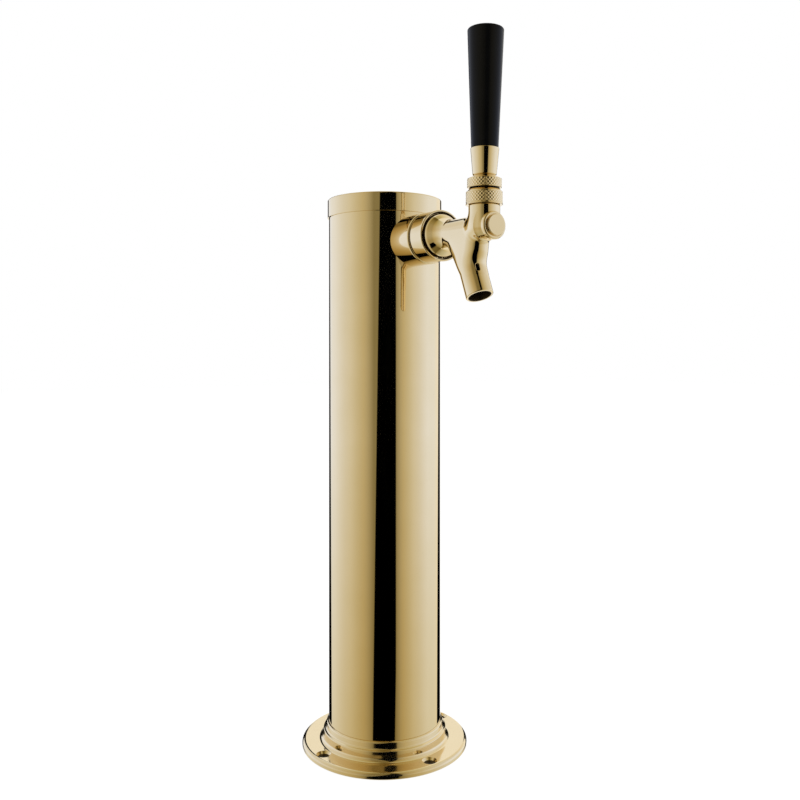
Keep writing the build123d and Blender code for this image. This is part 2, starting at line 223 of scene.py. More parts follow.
def turned_left(direction, angle=math.pi / 2):
    """A direction turned to the left; a quarter turn points out of an outline."""
    sine, cosine = math.sin(angle), math.cos(angle)
    along, radius = direction
    return np.array((along * cosine - radius * sine, along * sine + radius * cosine))


def rounded_outline(corners, closed):
    """Points and outward normals of an outline whose corners, (along, radius, rounding), become arcs."""
    points = []
    count = len(corners)
    for index, corner in enumerate(corners):
        here = np.array(corner[:2], float)
        before = np.array(corners[index - 1][:2], float)
        after = np.array(corners[(index + 1) % count][:2], float)
        if not closed and index in (0, count - 1):
            step = after - here if index == 0 else here - before
            points.append((here, turned_left(step / np.linalg.norm(step))))
            continue
        arriving = (here - before) / np.linalg.norm(here - before)
        leaving = (after - here) / np.linalg.norm(after - here)
        turn = math.atan2(arriving[0] * leaving[1] - arriving[1] * leaving[0], float(arriving @ leaving))
        rounding = corner[2] if len(corner) > 2 else edge
        start = here - arriving * abs(rounding * math.tan(turn / 2))
        side = math.copysign(rounding, turn)
        first_normal = turned_left(arriving)
        centre = start + first_normal * side
        steps = max(2, math.ceil(abs(turn) / arc_step))
        for step in range(steps + 1):
            normal = turned_left(first_normal, turn * step / steps)
            points.append((centre - normal * side, normal))
    return points


def make_object(name, vertices, faces, normals):
    """A smooth-shaded mesh object from millimetre points; a zero normal leaves that point to Blender."""
    mesh = bpy.data.meshes.new(name)
    mesh.from_pydata((np.asarray(vertices) * MM).tolist(), [], faces)
    mesh.validate()
    mesh.shade_smooth()
    mesh.normals_split_custom_set_from_vertices(np.asarray(normals).tolist())
    piece = bpy.data.objects.new(name, mesh)
    bpy.context.scene.collection.objects.link(piece)
    return piece


def turned(name, line, corners, closed=True, segments=240, relief=None, shift=None):
    """Turn an outline about a line. relief sinks the surface on rings of its own;
    shift(along, radius, angles) moves the points of a ring along the line."""
    outline = rounded_outline(corners, closed)
    if relief:
        outline = relief.refine(outline)
    angles = np.arange(segments) * 2 * math.pi / segments
    outward = line.outward(angles)
    vertices, normals, rings = [], [], []
    for (along, radius), normal in outline:
        if radius < 1e-6:
            rings.append([len(vertices)])
            vertices.append(line.origin + along * line.along)
            normals.append(line.along * normal[0])
            continue
        radii = np.full(segments, radius)
        heights = np.full(segments, along)
        ring_normals = outward * normal[1] + line.along * normal[0]
        if relief and relief.holds(along, normal):
            radii = radii - relief.depth_at(along, angles)
            ring_normals = ring_normals * 0
        if shift:
            heights = heights + shift(along, radius, angles)
        rings.append(list(range(len(vertices), len(vertices) + segments)))
        vertices.extend(line.origin + heights[:, None] * line.along + radii[:, None] * outward)
        normals.extend(ring_normals)
    faces = []
    pairs = list(zip(rings, rings[1:] + rings[:1]))
    for lower, upper in pairs if closed else pairs[:-1]:
        for j in range(segments):
            k = (j + 1) % segments
            if len(lower) == 1:
                faces.append((lower[0], upper[k], upper[j]))
            elif len(upper) == 1:
                faces.append((lower[j], lower[k], upper[0]))
            else:
                faces.append((lower[j], lower[k], upper[k], upper[j]))
    return make_object(name, vertices, faces, normals)


def faces_out(normal):
    """Whether an outline's normal points straight away from the turning axis."""
    return normal[1] > 0.9


class Knurl:
    """Crossed grooves round a ring between two heights, with a low pillow in every mesh."""

    def __init__(self, low, high, radius):
        self.low, self.high = low, high
        self.teeth = round(2 * math.pi * radius / knurl_pitch)
        self.segments = 8 * self.teeth

    def refine(self, outline):
        """Add rings on the knurled stretch."""
        finer = []
        for (point, normal), (after, _) in zip(outline, outline[1:] + outline[:1]):
            finer.append((point, normal))
            if faces_out(normal) and after[0] - point[0] > knurl_rise:
                steps = math.ceil((after[0] - point[0]) / knurl_ring)
                for step in range(1, steps):
                    finer.append((point + (after - point) * step / steps, normal))
        return finer

    def holds(self, along, normal):
        return faces_out(normal) and self.low < along < self.high

    def depth_at(self, along, angles):
        turn = self.teeth * angles / (2 * math.pi)
        rise = (along - self.low) / knurl_rise
        from_groove = [np.abs((turn + way * rise) % 1 - 0.5) for way in (1, -1)]
        fade = min(1, (along - self.low) / knurl_fade, (self.high - along) / knurl_fade)
        return fade * knurl_depth * (1 - 2 * np.minimum(*from_groove)) ** 2


def remember_normals(piece):
    """Store a mesh's smooth normals where a boolean carries them along."""
    mesh = piece.data
    normals = np.empty(3 * len(mesh.loops))
    mesh.corner_normals.foreach_get("vector", normals)
    mesh.attributes.new("smooth_normal", "FLOAT_VECTOR", "CORNER").data.foreach_set("vector", normals)


def drilled(piece, *cutters):
    """Cut other meshes out of a piece; the cut piece keeps the smooth normals of both."""
    for each in (piece, *cutters):
        remember_normals(each)
    for cutter in cutters:
        cut = piece.modifiers.new("cut", "BOOLEAN")
        cut.object = cutter
        cut.solver = "EXACT"
    depsgraph = bpy.context.evaluated_depsgraph_get()
    mesh = bpy.data.meshes.new_from_object(piece.evaluated_get(depsgraph))
    piece.modifiers.clear()
    piece.data = mesh
    for cutter in cutters:
        bpy.data.objects.remove(cutter)

    stored = np.empty(3 * len(mesh.loops))
    mesh.attributes["smooth_normal"].data.foreach_get("vector", stored)
    normals = stored.reshape(-1, 3)
    for face in mesh.polygons:
        corners = normals[face.loop_start : face.loop_start + face.loop_total]
        # a cutter's normals point into the piece, so they are turned round
        if corners.sum(0) @ np.array(face.normal) < 0:
            corners *= -1
    normals /= np.maximum(np.linalg.norm(normals, axis=1), 1e-6)[:, None]
    mesh.attributes.remove(mesh.attributes["smooth_normal"])
    mesh.normals_split_custom_set(normals.tolist())
    return piece


def column_shell():
    """The tube with the shank's hole in its front."""
    low, high = tube_low[2], tube_high[2]
    corners = [(low, tube_bore_r), (low, tube_r), (high, tube_r), (high, tube_bore_r)]
    tube = turned("column_shell", column_line, corners, segments=segments_wide)
    start, end = tube_bore_r / 2, tube_bore_r * 2
    hole = [(start, 0), (start, shank_hole_r), (end, shank_hole_r), (end, 0)]
    return drilled(tube, turned("drill", shank_line, hole, False, 96))


def cap_shell():
    """The lid: a flat roof and a skirt."""
    inner = tube_r + 2 * seam
    outer = cap_high[0]
    low, high = cap_low[2], cap_high[2]
    corners = [
        (high - cap_roof, 0),
        (high - cap_roof, inner),
        (low, inner),
        (low, outer, cap_rim_edge),
        (high, outer, cap_edge),
        (high, 0),
    ]
    return turned("cap_shell", column_line, corners, False, segments_wide)


def at_bolts(name, corners, closed):
    """The same turned shape at every screw hole."""
    shapes = []
    for index in range(bolts["count"]):
        turn = bolt_turn + index * 2 * math.pi / bolts["count"]
        place = np.array((math.cos(turn), math.sin(turn), 0)) * bolts["pcd_mm"] / 2
        shapes.append(turned(f"{name}_{index}", Line(place, (0, 0, 1), (1, 0, 0)), corners, closed, 64))
    return shapes


def base_casting():
    """Flange, step and the collar round the tube's foot, with the gasket's pocket and the screw holes."""
    outer = base_high[0]
    top = base_high[2]
    pocket_r = outer - gasket_rim
    top_r = tube_r + collar_wall
    step_r = top_r + step_width
    seat_r = tube_r + seam
    corners = [
        (0, tube_bore_r),
        (0, pocket_r - gasket_width),
        (gasket_depth, pocket_r - gasket_width),
        (gasket_depth, pocket_r),
        (0, pocket_r),
        (0, outer, base_foot_edge),
        (base_thickness, outer, base_edge),
        (base_thickness, step_r + 0.3, base_cove),
        (step_height, step_r, step_edge),
        (step_height + 0.7, top_r + 0.2, step_fillet),
        (top - 0.5, top_r - 0.1, collar_edge),
        (top, seat_r),
        (tube_low[2], seat_r),
        (tube_low[2], tube_bore_r),
    ]
    casting = turned("base_casting", column_line, corners, segments=segments_wide)
    hole_r = bolts["hole_r_mm"] + hole_lining
    past = 0.3              # how far the countersink's cone runs on above the flange
    drill_low, drill_top = -1, base_thickness + 2
    screw_hole = [
        (drill_low, 0),
        (drill_low, hole_r),
        (base_thickness - bolt_head_r + hole_r, hole_r),
        (base_thickness + past, bolt_head_r + past),
        (drill_top, bolt_head_r + past),
        (drill_top, 0),
    ]
    return drilled(casting, *at_bolts("drill", screw_hole, False))


def screw_hole_walls():
    """The unplated walls of the screw holes, below their countersinks, made near-black as painted shade."""
    inner = bolts["hole_r_mm"]
    outer = inner + hole_lining - hole_lining_gap
    top = base_thickness - bolt_head_r + inner
    corners = [(gasket_depth, inner), (gasket_depth, outer), (top, outer), (top, inner)]
    return at_bolts("screw_hole", corners, True)


def rosette_shell():
    """The round flange; its back follows the column."""
    front = -rosette_low[1]
    outer = rosette_high[0]
    back = 10.0             # a plane inside the column; the shift takes its points out to the wall

    def to_column(along, radius, angles):
        if along > back + 2 * edge:
            return np.zeros(len(angles))
        return np.sqrt((tube_r + seam) ** 2 - (radius * np.cos(angles)) ** 2) - back

    corners = [(back, radius) for radius in np.linspace(shank_hole_r, outer, 7)]
    corners += [(front, outer, rosette_edge), (front, shank_hole_r)]
    return turned("rosette_shell", shank_line, corners, shift=to_column)


def coupling_shell():
    """The nut's outside and both its end faces."""
    outer = coupling_high[0]
    corners = [
        (coupling_back, coupling_lip_r),
        (coupling_back, outer, coupling_back_edge),
        (coupling_front, outer, coupling_front_edge),
        (coupling_front, coupling_mouth_r),
    ]
    return turned("coupling_shell", shank_line, corners, False, 300)


def coupling_bore():
    """The nut's inside, from its smooth mouth back to the lip; its near-black brass is painted shade."""
    lip_end = coupling_back + coupling_lip
    mouth = coupling_front - coupling_mouth_depth
    corners = [
        (coupling_front, coupling_mouth_r),
        (mouth, coupling_mouth_r),
        (mouth, coupling_thread_r),
        (lip_end, coupling_thread_r),
        (lip_end, coupling_lip_r),
        (coupling_back, coupling_lip_r),
    ]
    return turned("coupling_bore", shank_line, corners, False)


def boss_cap():
    """The round boss at the faucet's front and the disc set in it."""
    seat_r = disc_r + disc_gap
    seat = boss_front - disc_seat_depth
    disc_face = -body_low[1]
    corners = [
        (boss_rear, 0),
        (boss_rear, boss_r, 0.8),
        (boss_front, boss_r, 1.1),
        (boss_front, seat_r, 0.2),
        (seat, seat_r, 0.1),
        (seat, disc_r, 0.1),
        (disc_face, disc_r, 0.4),
        (disc_face, 0),
    ]
    return turned("boss_cap", shank_line, corners, False)


def ball_arc(radius, start_r, end_r, steps=6):
    """Outline corners on a sphere about the ball's centre, between two distances from its axis."""
    rounding = 6.0          # with it, corners this near to each other blend into the arc
    start, end = math.asin(start_r / radius), math.asin(end_r / radius)
    turns = [start + (end - start) * step / steps for step in range(1, steps)]
    return [(radius * math.cos(turn), radius * math.sin(turn), rounding) for turn in turns]


def bonnet_knurled():
    """Lower ring: knurled band, domed roof with a flared hole, and the inner collar under the roof."""
    low = bonnet_low[2] - ball[2]
    foot = low + bonnet_foot_height
    shoulder = math.sqrt(bonnet_dome_r**2 - bonnet_r**2)
    crown = math.sqrt(bonnet_dome_r**2 - bonnet_hole_r**2)
    corners = [
        (low, bonnet_thread_r),
        (low, bonnet_r + bonnet_flare, 0.3),
        (foot, bonnet_r + 0.03, 0.5),
        (shoulder, bonnet_r, 0.3),
        *ball_arc(bonnet_dome_r, bonnet_r, bonnet_hole_r),
        (crown, bonnet_hole_r, 0.15),
        (bonnet_roof, bonnet_throat_r),
        (press_low, press_bore_r),
        (press_low, press_r),
        (bonnet_roof, press_r),
        (bonnet_roof, bonnet_thread_r),
    ]
    knurl = Knurl(foot, shoulder - 0.25, bonnet_r)
    return turned("bonnet_knurled", ball_line, corners, segments=knurl.segments, relief=knurl)


def collar_knurled():
    """Upper ring: knurled band and chamfered top."""
    corners = [
        (collar_low, collar_rim),
        (collar_low, collar_r, 0.3),
        (collar_shoulder, collar_r, 0.35),
        (collar_top, collar_top_r, 0.1),
        (collar_top, collar_bore_r),
    ]
    knurl = Knurl(collar_low + 0.2, collar_shoulder - 0.2, collar_r)
    return turned("collar_knurled", lever_line, corners, False, knurl.segments, knurl)


def collar_hollow():
    """The upper ring's unplated inside: its bore, and the hollow that clears the lower ring's dome, darkened with
    painted shade.
    """
    crown = math.sqrt(collar_hollow_r**2 - collar_bore_r**2)
    corners = [
        (collar_top, collar_bore_r),
        (crown, collar_bore_r),
        *ball_arc(collar_hollow_r, collar_bore_r, collar_rim),
        (collar_low, collar_rim),
    ]
    return turned("collar_hollow", lever_line, corners, False)


def ferrule_shell():
    """The taper between the upper ring and the handle."""
    corners = [
        (ferrule_low, collar_bore_r),
        (ferrule_low, ferrule_foot_r, ferrule_foot_edge),
        (ferrule_top, ferrule_top_r, 0.3),
        (ferrule_top, collar_bore_r),
    ]
    return turned("ferrule_shell", lever_line, corners)


def tap_handle():
    """The moulded grip, with the hole that holds its insert."""
    hole_end = handle_low + insert_hole_depth
    corners = [
        (hole_end, 0),
        (hole_end, insert_hole_r),
        (handle_low, insert_hole_r),
        (handle_low, handle_foot_r, 0.3),
        (handle_top, handle_top_r, handle_edge),
        (handle_top, 0),
    ]
    return turned("tap_handle", lever_line, corners, False)


# ---- the faucet's casting, as one blended surface ----
# Fields are distances in millimetres, negative in the metal, on x, reach forward of the column and height z.

def joined(a, b, blend):
    """Union of two fields with a fillet."""
    h = np.maximum(blend - np.abs(a - b), 0) / blend
    return np.minimum(a, b) - h * h * blend / 4


def common(a, b, blend):
    """Intersection of two fields with a rounded edge."""
    return -joined(-a, -b, blend)


def without(a, b, blend=0.3):
    return common(a, -b, blend)


def between(value, low, high):
    """Field of a slab."""
    return np.maximum(low - value, value - high)


def flowing(height, stations, values):
    """A smooth curve through rising stations, straight before the first and after the last."""
    stations, values = np.array(stations, float), np.array(values, float)
    slopes = np.gradient(values, stations)
    index = np.clip(np.searchsorted(stations, height) - 1, 0, len(stations) - 2)
    width = stations[index + 1] - stations[index]
    t = (height - stations[index]) / width
    inside = np.clip(t, 0, 1)
    square, cube = inside**2, inside**3
    first, last = slopes[index] * width, slopes[index + 1] * width
    curve = (2 * cube - 3 * square + 1) * values[index] + (cube - 2 * square + inside) * first
    curve += (3 * square - 2 * cube) * values[index + 1] + (cube - square) * last
    return curve + (t - inside) * np.where(t < 0, first, last)


def turned_radius(reach, corners):
    """The radius at a reach of an outline whose inner corners, (reach, radius, rounding), become arcs."""
    radius = np.interp(reach, [corner[0] for corner in corners], [corner[1] for corner in corners])
    for before, here, after in zip(corners, corners[1:], corners[2:]):
        tilts = [math.atan2(b[1] - a[1], b[0] - a[0]) for a, b in ((before, here), (here, after))]
        turn = tilts[1] - tilts[0]
        rounding = here[2]
        tangent = rounding * math.tan(abs(turn) / 2)
        side = math.copysign(rounding, turn)
        start = np.array(here[:2]) - tangent * np.array((math.cos(tilts[0]), math.sin(tilts[0])))
        centre = start + side * np.array((-math.sin(tilts[0]), math.cos(tilts[0])))
        end = here[0] + tangent * math.cos(tilts[1])
        height = np.sqrt(np.maximum(rounding**2 - (reach - centre[0]) ** 2, 0))
        arc = centre[1] - math.copysign(1, turn) * height
        radius = np.where((reach > start[0]) & (reach < end), arc, radius)
    return radius


# the spout's axis: forward and down for each millimetre along it
spout_forward = -outlet["axis"][1]
spout_down = -outlet["axis"][2]
spout_middle = np.array(outlet["pos_m"]) / MM
spout_bore_r = outlet["dims"]["r_mm"]
spout_mouth = outlet["dims"]["length_mm"] / 2      # along the axis, from the mount's point
spout_length = 21.2
knee_reach = -spout_middle[1] - (spout_length - spout_mouth) * spout_forward
knee_height = spout_middle[2] + (spout_length - spout_mouth) * spout_down


def spout_coordinates(x, reach, z):
    """Along the spout from the mount's point, positive to the mouth; across it; away from its axis."""
    forward = reach + spout_middle[1]
    below = spout_middle[2] - z
    along = forward * spout_forward + below * spout_down
    across = forward * spout_down - below * spout_forward
    return along, across, np.sqrt(x**2 + across**2)


def shank_radius(x, z):
    return np.sqrt(x**2 + (z - shank_height) ** 2)


def neck_radius(x, reach):
    return np.sqrt(x**2 + (reach - handle_reach) ** 2)


def hip_field(x, reach, z):
    """Ovals, rounder in front and fuller behind, that widen below the waist and close to the spout's tube."""
    half = spout_r / spout_down
    lean = spout_forward / spout_down
    bend = 7.0              # below the knee, where the ovals have become the tube
    foot = knee_height - bend
    # The stations rise from the foot and the knee to the shank's axis. Above the knee an oval's back is
    # measured from the dome's end and its front from the handle's axis. The power of its back half's curve
    # is 2 for an ellipse and higher for a fuller one.
    drops = (12.8, 6.5, 2.8, 0)
    stations = [foot, knee_height] + [shank_height - drop for drop in drops]
    rears = [knee_reach + bend * lean - half, knee_reach - half - 0.7]
    rears += [dome_end + rear for rear in (7.5, 2.8, -1.7, -3.2)]
    fronts = [knee_reach + bend * lean + half, knee_reach + half + 0.9]
    fronts += [handle_reach + front for front in (-0.9, 0.0, 0.5, 0.4)]
    widths = (spout_r, spout_r - 0.1, 7.9, 7.7, 7.7, 7.3)
    powers = (2, 2.9, 3.2, 4.2, 5, 5)
    rear, front = flowing(z, stations, rears), flowing(z, stations, fronts)
    width = flowing(z, stations, widths)
    middle = front - width - 0.5
    length = np.where(reach < middle, middle - rear, front - middle)
    fullness = np.clip(flowing(z, stations, powers), min(powers), max(powers))
    power = np.where(reach < middle, fullness, 2)
    oval = (np.abs(x / width) ** power + np.abs((reach - middle) / length) ** power) ** (1 / power)
    hip = common((oval - 1) * width, z - shank_height, 1.0)
    along, _, from_spout = spout_coordinates(x, reach, z)
    return common(np.where(z < foot, from_spout - spout_r, hip), along - spout_mouth, 0.7)


def neck_field(x, reach, z):
    """An upright rod with a rounded lower end, up to the bonnet."""
    side = neck_radius(x, reach) - neck_r + neck_rounding
    under = shank_height - neck_drop + neck_rounding - z
    round_end = np.hypot(np.maximum(side, 0), np.maximum(under, 0))
    rod = round_end + np.minimum(np.maximum(side, under), 0) - neck_rounding
    return common(rod, z - bonnet_low[2] + 2 * seam, 0.7)


def vent_field(x, reach, z):
    """An upright slot through the spout's front wall, turned to one side."""
    along, across, _ = spout_coordinates(x, reach, z)
    sideways = x * math.cos(vent_turn) + across * math.sin(vent_turn)
    facing = across * math.cos(vent_turn) - x * math.sin(vent_turn)
    from_middle = along - spout_mouth + spout_length - vent_drop
    past_straight = np.maximum(np.abs(from_middle) - vent_half_straight, 0)
    slot = np.hypot(past_straight, sideways) - vent_half_width
    return np.maximum(slot, -facing)


def bore_field(x, reach, z):
    """The spout's bore and the passages behind it."""
    from_shank, from_neck = shank_radius(x, z), neck_radius(x, reach)
    along, _, from_spout = spout_coordinates(x, reach, z)
    bore = np.maximum(from_spout - spout_bore_r, -spout_mouth - along)
    feed = np.maximum(np.maximum(from_spout - spout_feed_r, along), z - shank_height)
    chamber = np.maximum(from_shank - chamber_bore_r, between(reach, casting_rear - 1, valve_seat))
    valve_end = boss_front - valve_bore_wall
    valve_bore = np.maximum(from_shank - valve_bore_r, between(reach, dome_shoulder, valve_end))
    socket = np.maximum(from_neck - socket_bore_r, ball[2] - socket_drop - z)
    arm_hole = np.maximum(from_neck - arm_hole_r, shank_height - z)
    return np.minimum.reduce([bore, feed, chamber, valve_bore, socket, arm_hole])


def casting_field(x, reach, z):
    """Rear thread, dome, waist, hip with the spout, neck with its thread, and boss, less the openings."""
    from_shank, from_neck = shank_radius(x, z), neck_radius(x, reach)
    thread_end = casting_rear + rear_thread_length
    thread = common(from_shank - rear_thread_r, between(reach, casting_rear, thread_end), 0.4)
    outline = (
        (casting_rear, dome_r),
        (dome_shoulder, dome_r, dome_rounding),
        (dome_end, waist_r, waist_rounding),
        (handle_reach, waist_front_r),
    )
    flare = from_shank - turned_radius(reach, outline)
    metal = np.minimum(thread, np.maximum(flare, between(reach, casting_rear, handle_reach)))
    metal = joined(metal, hip_field(x, reach, z), 1.5)
    fillet = np.interp(z, (shank_height - neck_drop, shank_height), (3.5, 4.5))
    metal = joined(metal, neck_field(x, reach, z), fillet)
    neck_thread = np.maximum(from_neck - neck_thread_r, between(z, ball[2], ball[2] + neck_thread_top))
    metal = np.minimum(metal, neck_thread)
    boss = np.maximum(from_shank - boss_neck_r, between(reach, handle_reach, boss_front - 1))
    metal = joined(metal, boss, 1.4)
    metal = without(metal, bore_field(x, reach, z))
    return without(metal, vent_field(x, reach, z))


def surface_net(field, start, step):
    """Quads on the zero surface of a sampled field, one vertex to each cell that it crosses."""
    cells = tuple(size - 1 for size in field.shape)
    total = np.zeros(cells + (3,))
    count = np.zeros(cells)
    # a cell's vertex is the mean of the crossings on its edges
    for axis in range(3):
        low = np.take(field, range(field.shape[axis] - 1), axis)
        high = np.take(field, range(1, field.shape[axis]), axis)
        crossed = (low < 0) != (high < 0)
        fraction = np.where(crossed, low / np.where(crossed, low - high, 1), 0)
        u, v = [other for other in range(3) if other != axis]
        for du in (0, 1):
            for dv in (0, 1):
                part = [slice(None)] * 3
                part[u] = slice(du, du + cells[u])
                part[v] = slice(dv, dv + cells[v])
                hit = crossed[tuple(part)]
                count += hit
                total[..., axis] += fraction[tuple(part)]
                total[..., u] += hit * du
                total[..., v] += hit * dv
    used = count > 0
    number = np.full(cells, -1)
    number[used] = np.arange(used.sum())
    vertices = (np.argwhere(used) + total[used] / count[used][:, None]) * step + start
    faces = []
    # a crossed edge gives a quad between the four cells round it
    for axis in range(3):
        u, v = (axis + 1) % 3, (axis + 2) % 3
        low = np.take(field, range(field.shape[axis] - 1), axis) < 0
        high = np.take(field, range(1, field.shape[axis]), axis) < 0
        edges = np.argwhere(low != high)
        for across in (u, v):
            edges = edges[(edges[:, across] > 0) & (edges[:, across] < cells[across])]
        corners = []
        for du, dv in ((0, 0), (1, 0), (1, 1), (0, 1)):
            cell = edges.copy()
            cell[:, u] -= 1 - du
            cell[:, v] -= 1 - dv
            corners.append(number[tuple(cell.T)])
        quads = np.stack(corners, 1)
        outward = low[tuple(edges.T)]
        quads[~outward] = quads[~outward][:, ::-1]
        faces.append(quads)
    return vertices, np.concatenate(faces)


def field_slope(points, nudge=0.02):
    """The casting field's gradient at each point."""
    slope = np.zeros_like(points)
    for axis in range(3):
        ahead, behind = points.copy(), points.copy()
        ahead[:, axis] += nudge
        behind[:, axis] -= nudge
        slope[:, axis] = (casting_field(*ahead.T) - casting_field(*behind.T)) / (2 * nudge)
    return slope


def round_off_mouth(points, border):
    """Move the points between the spout's end face and its bore onto one circle."""
    along = spout_coordinates(*points[border].T)[0]
    border = border[along > spout_mouth - 1]
    along, across, from_spout = spout_coordinates(*points[border].T)
    outward = np.stack((points[border, 0], across * spout_down, across * spout_forward), 1)
    spread = (spout_bore_r + 0.3) / from_spout - 1
    lift = np.outer(spout_mouth - along, (0, spout_forward, -spout_down))
    points[border] += spread[:, None] * outward + lift


def onto_surface(points, step):
    """Points taken from the sampled cells to the casting's own surface."""
    for _ in range(4):
        slope = field_slope(points)
        size = np.maximum((slope**2).sum(1), 0.2)
        shift = np.clip(casting_field(*points.T) / size, -step, step)
        points = points - shift[:, None] * slope
    return points


def faucet_casting():
    """The casting's outside, and the surfaces of its bores as a piece of their own."""
    step = 0.32
    margin = 2 * step
    side = rear_thread_r + 1.3
    start = np.array((-side, casting_rear - margin, body_low[2] - margin))
    stop = np.array((side, boss_front + margin, ball[2] + neck_thread_top + margin))
    axes = [np.arange(low, high, step) for low, high in zip(start, stop)]
    x, reach, z = np.meshgrid(*axes, indexing="ij", sparse=True)
    points, quads = surface_net(casting_field(x, reach, z), start, step)
    points = onto_surface(points, step)
    near_bore = 0.25        # a face this near to a bore's wall belongs to it
    inside = (bore_field(*points.T) < near_bore)[quads].all(1)
    round_off_mouth(points, np.intersect1d(quads[inside], quads[~inside]))
    normals = field_slope(points)
    normals /= np.maximum(np.linalg.norm(normals, axis=1), 1e-6)[:, None]
    to_frame = np.array((1, -1, 1))     # reach is along -Y
    pieces = []
    for name, faces in (("faucet_casting", quads[~inside]), ("faucet_bores", quads[inside])):
        used, renumbered = np.unique(faces, return_inverse=True)
        faces = renumbered.reshape(-1, 4)[:, ::-1].tolist()
        pieces.append(make_object(name, points[used] * to_frame, faces, normals[used] * to_frame))
    return pieces


# ---- materials ----

class Sums:
    """Adds arithmetic nodes to a tree; a number or a socket may stand for each value."""

    def __init__(self, nodes, links):
        self.nodes, self.links = nodes, links

    def __call__(self, operation, *values):
        node = self.nodes.new("ShaderNodeMath")
        node.operation = operation
        for socket, value in zip(node.inputs, values):
            if isinstance(value, (int, float)):
                socket.default_value = value
            else:
                self.links.new(value, socket)
        return node.outputs[0]

    def step(self, value, start, end):
        """0 before the start, 1 after the end, straight between them."""
        span = self.nodes.new("ShaderNodeMapRange")
        span.inputs["From Min"].default_value = start
        span.inputs["From Max"].default_value = end
        self.links.new(value, span.inputs["Value"])
        return span.outputs["Result"]

    def inside(self, value, low, high, soft):
        """1 between low and high, with soft ends."""
        return self("MULTIPLY", self.step(value, low, low + soft), self.step(value, high, high - soft))

    def blend(self, share, first, second, kind="MIX"):
        """Two colours, each a socket or three numbers, with a share of the second."""
        mix = self.nodes.new("ShaderNodeMix")
        mix.data_type = "RGBA"
        mix.blend_type = kind
        self.links.new(share, mix.inputs[0])
        for socket, value in ((mix.inputs[6], first), (mix.inputs[7], second)):
            if isinstance(value, tuple):
                socket.default_value = (*value, 1)
            else:
                self.links.new(value, socket)
        return mix.outputs[2]

    def colours(self, value, stops):
        """A ramp of colours at places from 0 to 1."""
        ramp_node = self.nodes.new("ShaderNodeValToRGB")
        elements = ramp_node.color_ramp.elements
        while len(elements) < len(stops):
            elements.new(0.5)
        for element, (place, colour) in zip(elements, stops):
            element.position = place
            element.color = (*colour, 1)
        self.links.new(value, ramp_node.inputs[0])
        return ramp_node.outputs[0]


def new_material(name):
    material = bpy.data.materials.new(name)
    material.use_nodes = True
    tree = material.node_tree
    return material, tree.nodes, tree.links, tree.nodes["Principled BSDF"]


def noise(nodes, links, scale, detail=2, stretch=None):
    """Noise on the object's own coordinates, which are its place in metres."""
    texture = nodes.new("ShaderNodeTexNoise")
    texture.inputs["Scale"].default_value = scale
    texture.inputs["Detail"].default_value = detail
    place = nodes.new("ShaderNodeTexCoord")
    if stretch:
        mapping = nodes.new("ShaderNodeMapping")
        mapping.inputs["Scale"].default_value = stretch
        links.new(place.outputs["Object"], mapping.inputs["Vector"])
        links.new(mapping.outputs["Vector"], texture.inputs["Vector"])
    else:
        links.new(place.outputs["Object"], texture.inputs["Vector"])
    return texture.outputs["Fac"]


def ramp(nodes, links, value, low, high):
    """Spread the middle of a noise between two numbers."""
    spread = nodes.new("ShaderNodeMapRange")
    spread.inputs["From Min"].default_value = 0.3
    spread.inputs["From Max"].default_value = 0.7
    spread.inputs["To Min"].default_value = low
    spread.inputs["To Max"].default_value = high
    links.new(value, spread.inputs["Value"])
    return spread.outputs["Result"]


def bump(nodes, links, shader, value, distance, strength):
    relief = nodes.new("ShaderNodeBump")
    relief.inputs["Strength"].default_value = strength
    relief.inputs["Distance"].default_value = distance
    links.new(value, relief.inputs["Height"])
    links.new(relief.outputs["Normal"], shader.inputs["Normal"])


def metal(name, first, second, glossiest, dullest, bump_size=0.0):
    """Metal whose colour and roughness drift a little, with faint upright smears from wiping."""
    material, nodes, links, shader = new_material(name)
    shader.inputs["Metallic"].default_value = 1
    drift = ramp(nodes, links, noise(nodes, links, 45, 3), 0, 1)
    links.new(Sums(nodes, links).blend(drift, first, second), shader.inputs["Base Color"])
    smear = noise(nodes, links, 260, 4, stretch=(1, 1, 0.12))
    links.new(ramp(nodes, links, smear, glossiest, dullest), shader.inputs["Roughness"])
    if bump_size:
        bump(nodes, links, shader, noise(nodes, links, 900, 2), bump_size, 0.4)
    return material


def plastic(name, first, second, glossiest, dullest, grain, bump_size, specular=0.5):
    """Plastic or rubber with a fine moulded grain."""
    material, nodes, links, shader = new_material(name)
    shader.inputs["Specular IOR Level"].default_value = specular
    drift = noise(nodes, links, 60, 3)
    links.new(Sums(nodes, links).blend(drift, first, second), shader.inputs["Base Color"])
    gloss = noise(nodes, links, 300, 3)
    links.new(ramp(nodes, links, gloss, glossiest, dullest), shader.inputs["Roughness"])
    bump(nodes, links, shader, noise(nodes, links, grain, 3), bump_size, 0.5)
    return material


gold = metal("polished_gold", (0.80, 0.655, 0.385), (0.82, 0.675, 0.41), 0.025, 0.055)
soft_gold = metal("soft_gold", (0.81, 0.67, 0.405), (0.83, 0.69, 0.43), 0.08, 0.13)
knurled_gold = metal("knurled_gold", (0.80, 0.655, 0.385), (0.84, 0.70, 0.44), 0.05, 0.10, 0.00001)
chrome = metal("plated_steel", (0.66, 0.66, 0.67), (0.72, 0.72, 0.73), 0.08, 0.18)
brass = metal("raw_brass", (0.62, 0.47, 0.22), (0.70, 0.54, 0.27), 0.22, 0.35, 0.00003)
# painted shade: unplated brass made near-black for the bores, holes and hollows, standing in for the shade inside
# them
hollow_shade_brass = metal("tarnished_brass", (0.10, 0.07, 0.035), (0.15, 0.11, 0.06), 0.4, 0.6, 0.00003)
black_plastic = plastic(
    "black_handle", (0.001, 0.001, 0.001), (0.002, 0.002, 0.002), 0.2, 0.26, 1800, 0.00001, specular=0.12
)
rubber = plastic("black_rubber", (0.02, 0.02, 0.02), (0.035, 0.034, 0.033), 0.6, 0.8, 2500, 0.00005)
